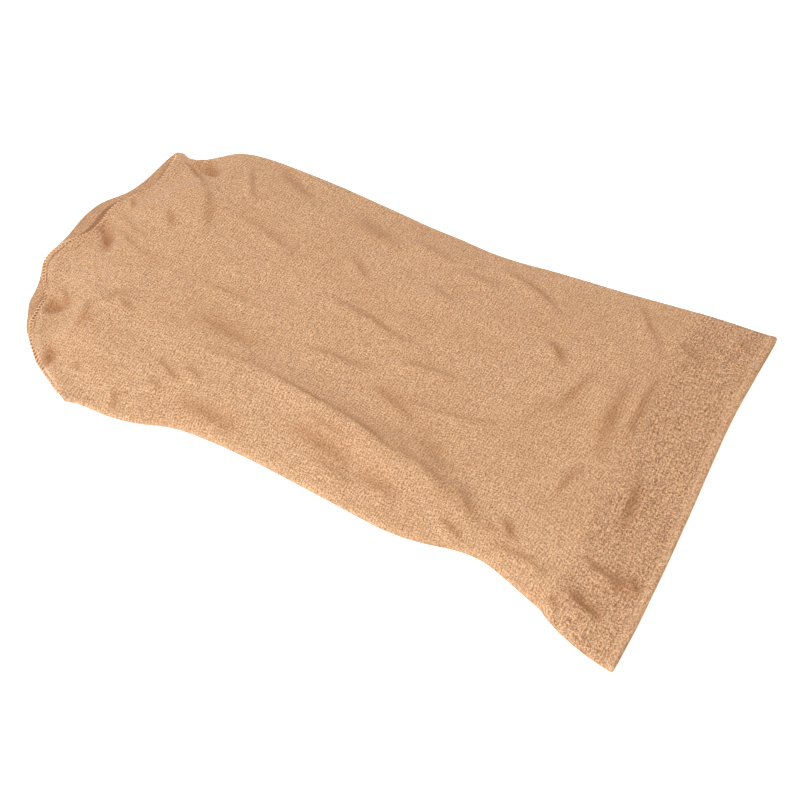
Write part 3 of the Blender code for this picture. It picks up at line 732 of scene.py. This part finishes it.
class Nodes:
    """The nodes of one material, or of the sky."""

    def __init__(self, name, kept_in="materials", shader="Principled BSDF"):
        self.made = getattr(bpy.data, kept_in).new(name)
        self.made.use_nodes = True
        self.tree = self.made.node_tree
        self.shader = self.tree.nodes[shader]

    def add(self, kind, settings, inputs, output=0):
        """A node of a kind, with its settings made first and then its sockets' values or links."""
        node = self.tree.nodes.new(kind)
        for name, value in settings.items():
            setattr(node, name, value)
        for name, value in inputs.items():
            self.feed(node, name, value)
        return Socket(self, node.outputs[output])

    def feed(self, node, name, value):
        if isinstance(value, Socket):
            self.tree.links.new(value.output, node.inputs[name])
        else:
            node.inputs[name].default_value = value

    def finish(self, **inputs):
        """Feeds the shader's own sockets, and gives the finished material or sky."""
        for name, value in inputs.items():
            self.feed(self.shader, name.replace("_", " "), value)
        return self.made

    def coordinate(self, place, axis):
        return self.add("ShaderNodeSeparateXYZ", {}, {0: place}, axis)

    def place_on(self, name):
        """The two values of a UV map: Knit in stitches across and along, Toe in millimetres from the edge and
        along it."""
        place = self.add("ShaderNodeUVMap", {"uv_map": name}, {})
        return self.coordinate(place, 0), self.coordinate(place, 1)

    def mark(self, name):
        """A mark on the piece's points: the painted shade at the creases' feet and in hollows, or one of the
        toe's.
        """
        return self.add("ShaderNodeAttribute", {"attribute_name": name}, {}, 2)

    def shifted(self, place, distance):
        """The same place moved, so that a second noise differs from the first."""
        inputs = {0: place, 1: (distance, distance, distance)}
        return self.add("ShaderNodeVectorMath", {"operation": "ADD"}, inputs)

    def stretched(self, place, shares):
        """The same place stretched, so that a noise on it draws streaks."""
        return self.add("ShaderNodeVectorMath", {"operation": "MULTIPLY"}, {0: place, 1: shares})

    def object_place(self):
        return self.add("ShaderNodeTexCoord", {}, {}, "Object")

    def noise(self, place, scale, detail=2.0):
        """Soft random numbers round a half."""
        inputs = {"Vector": place, "Scale": scale, "Detail": detail}
        return self.add("ShaderNodeTexNoise", {"noise_dimensions": "3D"}, inputs)

    def grains(self, place, scale=GRAIN_SCALE):
        """A random number for each small grain of an irregular mosaic, as the ends of cut fibres give."""
        inputs = {"Vector": place, "Scale": scale}
        cells = self.add("ShaderNodeTexVoronoi", {"voronoi_dimensions": "3D"}, inputs, "Color")
        return self.coordinate(cells, 0)

    def patches(self, place, kind):
        """1 in the patches of a kind, and 0 between them."""
        return self.noise(place, kind.scale, kind.detail).ramp(kind.low, kind.high)

    def mix(self, factor, first, second):
        """A colour between two."""
        inputs = {0: factor, 6: first, 7: second}
        return self.add("ShaderNodeMix", {"data_type": "RGBA"}, inputs, 2)

    def bump(self, height, distance):
        return self.add("ShaderNodeBump", {}, {"Height": height, "Distance": distance, "Strength": 1.0})


def colour(red, green, blue):
    """A shader colour from the screen's values, 0 to 255."""
    shares = (red / 255, green / 255, blue / 255)
    return (*[s / 12.92 if s <= 0.04045 else ((s + 0.055) / 1.055) ** 2.4 for s in shares], 1.0)


def loose_rows(nodes, wander, jitter):
    """The two waves of a knit's wales and courses, which wander softly and jitter from stitch to stitch."""
    across, along = nodes.place_on("Knit")
    here = nodes.object_place()
    waves = []
    for place, offset in ((across, 0.0), (along, 0.3)):
        broad = nodes.noise(nodes.shifted(here, offset), WANDER_SCALE, detail=1.0)
        fine = nodes.noise(nodes.shifted(here, offset), JITTER_SCALE, detail=1.0)
        waves.append((place + (broad - 0.5) * wander + (fine - 0.5) * jitter).wave())
    return waves


def beside(distance, band):
    """1 along a line beside the toe's edge, and 0 away from it."""
    return 1 - abs(distance - band.middle).ramp(band.whole, band.faded)


def toe_marks(nodes, settings, cloth, height):
    """The toe's edge: a pale lip, the strip of the lower layer beyond it with painted shade, painted shade in
    the gap between them, and open stitches."""
    distance, arc = nodes.place_on("Toe")
    gap, tone, sewn = nodes.mark("Toe_gap"), nodes.mark("Toe_tone"), nodes.mark("Toe_sewn")
    here = nodes.object_place()
    ragged = distance + (nodes.noise(here, scale=900) - 0.5) * RAGGED
    near = tone.ramp(low=0.0, high=0.3)
    # Painted shade on the lower layer's strip beyond the upper layer's edge
    strip = (-ragged).ramp(*STRIP_EDGE) * near * (1 - sewn)
    lip = beside(ragged, LIP_BAND) * near
    # Painted shade in the gap between the upper layer's edge and the strip
    dark = (1 - (abs(ragged + gap * 0.5) - gap * 0.5).ramp(*GAP_FADE)) * tone
    uneven = (nodes.noise(here, scale=500, detail=1.0) - 0.5) * STITCH_JITTER
    stitch = (arc / STITCH_PITCH + uneven).wave()
    hole = stitch.ramp(*STITCH_EDGE) * beside(ragged, HOLE_BAND) * sewn
    thread = (-stitch).ramp(*STITCH_EDGE) * beside(ragged, THREAD_BAND) * sewn
    for share, strength, tint in (
        (strip, TOE_TONES.strip, settings.strip_shade_colour),
        (lip, TOE_TONES.lip, settings.lip_colour),
        (thread, TOE_TONES.thread, settings.lip_colour),
        (dark, TOE_TONES.gap, settings.hole_and_gap_shade_colour),
        (hole, TOE_TONES.hole, settings.hole_and_gap_shade_colour),
    ):
        cloth = nodes.mix(share * strength, cloth, tuple(tint))
    return cloth, height + dark * TOE_RELIEF.gap + hole * TOE_RELIEF.hole + thread * TOE_RELIEF.thread


def cloth_colour(nodes, height, gap_colour, thread_colour):
    """The knit's colour, from the dark between its stitches to the thread on top."""
    return nodes.mix(height.clamped(), tuple(gap_colour), tuple(thread_colour))


def finish_cloth(nodes, cloth, height, distance):
    """The rough, softly shining cloth."""
    material = nodes.finish(Base_Color=cloth, Roughness=ROUGHNESS, Normal=nodes.bump(height, distance))
    nodes.finish(**FUZZY)
    return material


def body_material(settings):
    """The body's plain knit: fine, soft rows of light stitches with fuzz over them."""
    nodes = Nodes("body_knit_cloth")
    here = nodes.object_place()
    wales, courses = loose_rows(nodes, wander=2.4, jitter=0.9)
    fuzz = nodes.grains(here) - 0.5
    height = wales * BODY_RELIEF[0] + courses * BODY_RELIEF[1] + fuzz * settings.fuzz + 0.5
    cloth = cloth_colour(nodes, height, settings.gap_colour, settings.thread_colour)
    streaks = nodes.patches(nodes.stretched(here, shares=(0.3, 1.0, 1.0)), STREAKS)
    cloth = nodes.mix(streaks * STREAKS.tone, cloth, tuple(settings.shade_colour))
    wandering = (nodes.noise(here, scale=260, detail=1.0) - 0.5) * WANDERING
    welt_side = (nodes.coordinate(here, 0) + wandering).ramp(*BODY_END)
    welt_cloth = cloth_colour(nodes, height, settings.welt_gap_colour, settings.welt_colour)
    cloth = nodes.mix(welt_side * BODY_END_TONE, cloth, welt_cloth)
    # Painted shade: darker brown at the creases' feet and in hollows
    cloth = nodes.mix(nodes.mark("Fold") * settings.painted_fold_shade_strength, cloth, tuple(settings.painted_fold_shade_colour))
    cloth, depth = toe_marks(nodes, settings, cloth, height)
    return finish_cloth(nodes, cloth, depth, BODY_BUMP)


def welt_material(settings):
    """The welt's coarser knit, with small dark holes between its stitches and a paler turned edge."""
    nodes = Nodes("welt_knit_cloth")
    here = nodes.object_place()
    wales, courses = loose_rows(nodes, wander=1.3, jitter=1.0)
    behind = -(nodes.place_on("Knit")[1] * settings.welt_course)
    fuzz = nodes.grains(here) - 0.5
    uneven = (nodes.noise(nodes.shifted(here, distance=0.5), scale=240) - 0.5) * WANDERING
    grid = -(wales * WELT_RELIEF[0]) - courses * WELT_RELIEF[1]
    begun = 1 - (behind + uneven).ramp(*WELT_HOLES)
    loose = (behind + uneven * ROWS_WANDER).ramp(*OPEN_ROWS) * nodes.patches(here, LOOSE_PARTS)
    turned = 1 - (behind + uneven * HEM_WANDER).ramp(*HEM_TONE)
    varied = grid + (nodes.noise(here, HOLE_SCALE) - 0.5) * HOLE_SPREAD + loose * LOOSE_PARTS.tone
    holes = varied.ramp(*HOLES_OPEN) * begun * (1 - turned * HEM_HOLES)
    specks = nodes.grains(nodes.shifted(here, distance=0.2), SPECK_SCALE).ramp(*SPECKS) * begun
    streaky = nodes.stretched(here, shares=(1.0, 0.12, 1.0))
    ladders = nodes.patches(streaky, LADDERS) * begun * (1 - turned)
    height = 0.5 - grid * GRID_HEIGHT * begun + fuzz * settings.fuzz * WELT_FUZZ
    cloth = cloth_colour(nodes, height, settings.welt_gap_colour, settings.welt_colour)
    for share, strength, tint in (
        (holes, HOLE_TONE, settings.hole_and_gap_shade_colour),
        (specks, SPECK_TONE, settings.hole_and_gap_shade_colour),
        (ladders, LADDERS.tone, settings.hole_and_gap_shade_colour),
        (turned, TURNED_TONE, settings.hem_colour),
        # painted shade at the creases' feet and in hollows
        (nodes.mark("Fold"), settings.painted_fold_shade_strength, settings.painted_fold_shade_colour),
    ):
        cloth = nodes.mix(share * strength, cloth, tuple(tint))
    return finish_cloth(nodes, cloth, height - holes * HOLE_DEPTH, WELT_BUMP)


def yarn_material(settings):
    """The seam's twisted thread."""
    nodes = Nodes("seam_thread_yarn")
    twist = nodes.noise(nodes.object_place(), scale=3000)
    dark = tuple(share * YARN_DARK for share in settings.colour[:3]) + (1.0,)
    tone = nodes.mix(twist.ramp(low=0.35, high=0.65), dark, tuple(settings.colour))
    bump = nodes.bump(twist, distance=0.05 * MM)
    return nodes.finish(Base_Color=tone, Roughness=0.85, Normal=bump)


def colour_setting(name, description, default):
    return FloatVectorProperty(name=name, description=description, default=default, size=4, subtype="COLOR")


def length_setting(name, description, default):
    return FloatProperty(name=name, description=description, default=default, unit="LENGTH", precision=5)


class KnitSettings(bpy.types.PropertyGroup):
    """The cloth's stitches, colours and creases."""

    wale: length_setting("Wale", "Width of a body stitch", 0.82 * MM)
    course: length_setting("Course", "Its length", 0.80 * MM)
    welt_wale: length_setting("Welt wale", "Width of a welt stitch", 1.15 * MM)
    welt_course: length_setting("Welt course", "Its length", 0.96 * MM)
    creases: FloatProperty(name="Creases", description="Depth of the fine creases", default=1.0, min=0, max=2)
    smoothing: IntProperty(name="Smoothing", description="Subdivisions of the cloth", default=2, min=1, max=3)
    fuzz: FloatProperty(name="Fuzz", description="Unevenness of the thread", default=1.1, min=0, max=4)
    thread_colour: colour_setting("Thread", "Colour of the thread", colour(240, 198, 157))
    gap_colour: colour_setting("Gaps", "Colour between the stitches", colour(144, 98, 62))
    shade_colour: colour_setting("Shade", "Colour of the uneven patches", colour(182, 130, 88))
    welt_colour: colour_setting("Welt", "Colour of the welt's thread", colour(248, 203, 160))
    welt_gap_colour: colour_setting("Welt gaps", "Colour between its stitches", colour(138, 90, 55))
    hem_colour: colour_setting("Hem", "Colour of the turned edge", colour(238, 196, 158))
    # Painted shade at the creases' feet and in hollows: its colour and its strength
    painted_fold_shade_colour: colour_setting("Folds", "Colour deep in a fold", colour(162, 104, 58))
    painted_fold_shade_strength: FloatProperty(
        name="Fold tone", description="Strength of the folds' colour", default=0.9, min=0, max=1
    )
    # Painted shade on the lower layer's strip at the toe
    strip_shade_colour: colour_setting("Strip", "Colour of the lower layer at the toe", colour(160, 120, 90))
    lip_colour: colour_setting("Lip", "Colour of the toe's edge", colour(240, 204, 168))
    # Also the painted shade in the toe's gap
    hole_and_gap_shade_colour: colour_setting("Holes", "Colour in the open stitches", colour(128, 76, 42))


class SeamSettings(bpy.types.PropertyGroup):
    """The stitches that close the toe."""

    pitch: length_setting("Pitch", "From stitch to stitch", 1.1 * MM)
    thread: length_setting("Thread", "Thread width", 0.3 * MM)
    reach: length_setting("Reach", "Radius of a stitch", 0.62 * MM)
    colour: colour_setting("Colour", "Colour of the seam's thread", colour(240, 202, 164))


class StageSettings(bpy.types.PropertyGroup):
    """The camera, the floor and the lights."""

    elevation: FloatProperty(
        name="Elevation", description="Camera over the floor", default=math.radians(53), subtype="ANGLE"
    )
    azimuth: FloatProperty(
        name="Azimuth", description="Camera round the cap", default=math.radians(27.97), subtype="ANGLE"
    )
    distance: length_setting("Distance", "Camera to its target", 408.14 * MM)
    target: FloatVectorProperty(
        name="Target",
        description="Point in the picture's middle",
        default=(14.641 * MM, -8.289 * MM, 0),
        subtype="XYZ",
    )
    lens: FloatProperty(name="Lens", description="Focal length", default=70, unit="CAMERA")
    floor_colour: colour_setting("Floor", "Colour of the floor", (0.9, 0.9, 0.9, 1))
    key: FloatProperty(name="Key", description="Strength of the key light", default=9.9, unit="POWER")
    key_colour: colour_setting("Key colour", "Colour of the key light", (0.90, 0.945, 1.0, 1))
    back: FloatProperty(name="Back", description="Strength of the light behind", default=2.8, unit="POWER")
    sky: FloatProperty(name="Sky", description="Strength of the light all round", default=0.42)
    sky_colour: colour_setting("Sky colour", "Colour of the light all round", (1, 0.84, 0.68, 1))
    glow: FloatProperty(name="Glow", description="Strength of the lit floor", default=0.7)


def knit_piece(node_name, piece_name, levels, facing, lap=0.0, sink=0.0):
    """A fine mesh of one knit piece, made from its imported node."""
    piece = merged_copy(node_name, piece_name)
    crease_join(piece.data, facing, lap, sink)
    apply_modifier(piece, "SUBSURF", levels=levels, render_levels=levels)
    refine_upper_skin(piece)
    return piece


class WIGCAP_OT_body(bpy.types.Operator):
    """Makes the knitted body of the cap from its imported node"""

    bl_idname = "wigcap.body"
    bl_label = "Knit the body"

    def execute(self, context):
        settings = context.scene.wigcap_knit
        piece = knit_piece("cap_body", "body_knit", settings.smoothing, 1, JOIN_LAP, JOIN_SINK)
        move_toe_edge(piece.data, seam_route())
        press_creases(piece.data, settings.creases)
        mark_toe_edge(piece.data)
        map_knit(piece.data, settings.wale, settings.course)
        dress(piece, "cap_body", body_material(settings))
        return {"FINISHED"}


class WIGCAP_OT_welt(bpy.types.Operator):
    """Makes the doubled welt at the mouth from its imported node"""

    bl_idname = "wigcap.welt"
    bl_label = "Knit the welt"

    def execute(self, context):
        settings = context.scene.wigcap_knit
        piece = knit_piece("welt_band", "welt_knit", settings.smoothing, -1)
        press_creases(piece.data, settings.creases)
        turn_hem(piece.data)
        map_knit(piece.data, settings.welt_wale, settings.welt_course, from_mouth=True)
        dress(piece, "welt_band", welt_material(settings))
        return {"FINISHED"}


def seam_route():
    """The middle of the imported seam, from the near end to the far one."""
    piece = merged_copy("toe_seam", "seam_guide")
    points = coordinates(piece.data)
    points = points[np.argsort(points[:, 1])]
    whole = len(points) // SEAM_SECTION * SEAM_SECTION
    middles = points[:whole].reshape(-1, SEAM_SECTION, 3).mean(axis=1)
    bpy.data.objects.remove(piece)
    return middles


def stitch_route():
    """The middle of the stitches, from near to far along the toe's edge, sunk where that edge hides them."""
    line = toe_edge()[0]
    given = np.arange(len(TOE_EDGE)) * CURVE_STEPS
    sewn = np.interp(np.arange(len(line)), given, [place.sewn for place in TOE_EDGE])
    height = seam_route()[:, 2].mean() - STITCH_SINK - HIDDEN_DROP * (1 - sewn)
    return np.column_stack([line, height])[::-1]


def place_along(route, starts, at):
    """The place at a length along a route."""
    return Vector([np.interp(at, starts, route[:, k]) for k in range(3)])


def joined(pieces, name):
    """One object made of several."""
    bpy.ops.object.select_all(action="DESELECT")
    for piece in pieces:
        piece.select_set(True)
    bpy.context.view_layer.objects.active = pieces[0]
    bpy.ops.object.join()
    pieces[0].name = name
    return pieces[0]


class WIGCAP_OT_seam(bpy.types.Operator):
    """Makes the stitches of the toe seam, one ring modelled once and copied along the toe's edge"""

    bl_idname = "wigcap.seam"
    bl_label = "Stitch the toe"

    def execute(self, context):
        settings = context.scene.wigcap_seam
        route = stitch_route()
        starts = arc_lengths(route)
        count = int(starts[-1] / settings.pitch)
        sides, thread_sides = RING_SIDES
        bpy.ops.object.select_all(action="DESELECT")
        bpy.ops.mesh.primitive_torus_add(
            major_radius=settings.reach,
            minor_radius=settings.thread / 2,
            major_segments=sides,
            minor_segments=thread_sides,
        )
        ring = bpy.context.object
        copies = []
        for i in range(count):
            at = (i + 0.5) * starts[-1] / count
            place = place_along(route, starts, at)
            # The last stitch has no room ahead of it and turns as the one before it
            if i < count - 1:
                heading = place_along(route, starts, at + settings.pitch) - place
            lean = STITCH_LEAN + LEAN_SWING * math.sin(LEAN_STEP * i)
            turn = heading.to_track_quat("Z", "X").to_matrix().to_4x4()
            copy = bpy.data.objects.new("stitch", ring.data.copy())
            copy.data.transform(Matrix.Translation(place) @ turn @ Matrix.Rotation(lean, 4, "X"))
            bpy.context.scene.collection.objects.link(copy)
            copies.append(copy)
        bpy.data.objects.remove(ring)
        piece = joined(copies, "toe_stitches")
        dress(piece, "toe_seam", yarn_material(settings))
        return {"FINISHED"}


def from_angles(turn, tilt):
    """The direction of a place seen from the cap, by its turn from -Y towards +X and its tilt upwards."""
    return Vector((math.sin(turn) * math.cos(tilt), -math.cos(turn) * math.cos(tilt), math.sin(tilt)))


class WIGCAP_OT_stage(bpy.types.Operator):
    """Makes the floor, the lights and the camera"""

    bl_idname = "wigcap.stage"
    bl_label = "Set the stage"

    def execute(self, context):
        scene = context.scene
        settings = scene.wigcap_stage
        bpy.ops.object.select_all(action="DESELECT")
        bpy.ops.mesh.primitive_plane_add(size=FLOOR_SIZE, location=(0, 0, -FLOOR_DROP))
        floor = bpy.context.object
        floor.name = "floor"
        nodes = Nodes("floor_paper")
        paper = nodes.finish(
            Base_Color=tuple(settings.floor_colour),
            Roughness=ROUGHNESS,
            Specular_IOR_Level=0.0,
            Emission_Color=WHITE,
            Emission_Strength=settings.glow,
        )
        floor.data.materials.append(paper)
        sky = Nodes("studio_sky", "worlds", "Background")
        direction = sky.add("ShaderNodeTexCoord", {}, {}, "Generated")
        horizon = 1 - sky.coordinate(direction, 2).ramp(*HORIZON)
        tone = sky.mix(horizon, tuple(settings.sky_colour), WHITE)
        scene.world = sky.finish(Color=tone, Strength=settings.sky + (1 - settings.sky) * horizon)
        for name, turn, tilt, energy, tint in (
            ("key_light", KEY_TURN, KEY_TILT, settings.key, settings.key_colour),
            ("back_light", BACK_TURN, BACK_TILT, settings.back, WHITE),
        ):
            toward = from_angles(math.radians(turn), math.radians(tilt))
            bpy.ops.object.light_add(type="AREA", location=toward * LIGHT_DISTANCE)
            light = bpy.context.object
            light.name = name
            light.data.energy = energy
            light.data.color = tint[:3]
            light.data.size = LIGHT_SIZE
            light.rotation_euler = toward.to_track_quat("Z", "Y").to_euler()
        bpy.ops.object.camera_add()
        camera = bpy.context.object
        camera.name = "camera"
        back = from_angles(settings.azimuth, settings.elevation)
        camera.location = Vector(settings.target) + back * settings.distance
        camera.rotation_euler = back.to_track_quat("Z", "Y").to_euler()
        camera.data.lens = settings.lens
        camera.data.sensor_width = SENSOR_WIDTH
        camera.data.clip_start = NEAREST_SEEN
        scene.camera = camera
        scene.view_settings.view_transform = "Standard"
        return {"FINISHED"}


class WIGCAP_PT_panel(bpy.types.Panel):
    """Shows the cap's settings and the buttons that make its pieces"""

    bl_label = "Wig cap"
    bl_idname = "WIGCAP_PT_panel"
    bl_space_type = "VIEW_3D"
    bl_region_type = "UI"
    bl_category = "Wig cap"

    def draw(self, context):
        for group in (context.scene.wigcap_knit, context.scene.wigcap_seam, context.scene.wigcap_stage):
            box = self.layout.box()
            for name in group.bl_rna.properties.keys():
                if name not in ("rna_type", "name"):
                    box.prop(group, name)
        for operator in OPERATORS:
            self.layout.operator(operator.bl_idname)


OPERATORS = (WIGCAP_OT_stage, WIGCAP_OT_body, WIGCAP_OT_welt, WIGCAP_OT_seam)
CLASSES = (KnitSettings, SeamSettings, StageSettings, *OPERATORS, WIGCAP_PT_panel)


def register():
    for made in CLASSES:
        bpy.utils.register_class(made)
    bpy.types.Scene.wigcap_knit = PointerProperty(type=KnitSettings)
    bpy.types.Scene.wigcap_seam = PointerProperty(type=SeamSettings)
    bpy.types.Scene.wigcap_stage = PointerProperty(type=StageSettings)


def unregister():
    del bpy.types.Scene.wigcap_stage
    del bpy.types.Scene.wigcap_seam
    del bpy.types.Scene.wigcap_knit
    for made in reversed(CLASSES):
        bpy.utils.unregister_class(made)


def main():
    register()
    bpy.ops.wigcap.stage()
    bpy.ops.wigcap.body()
    bpy.ops.wigcap.welt()
    bpy.ops.wigcap.seam()


if __name__ == "__main__":
    main()
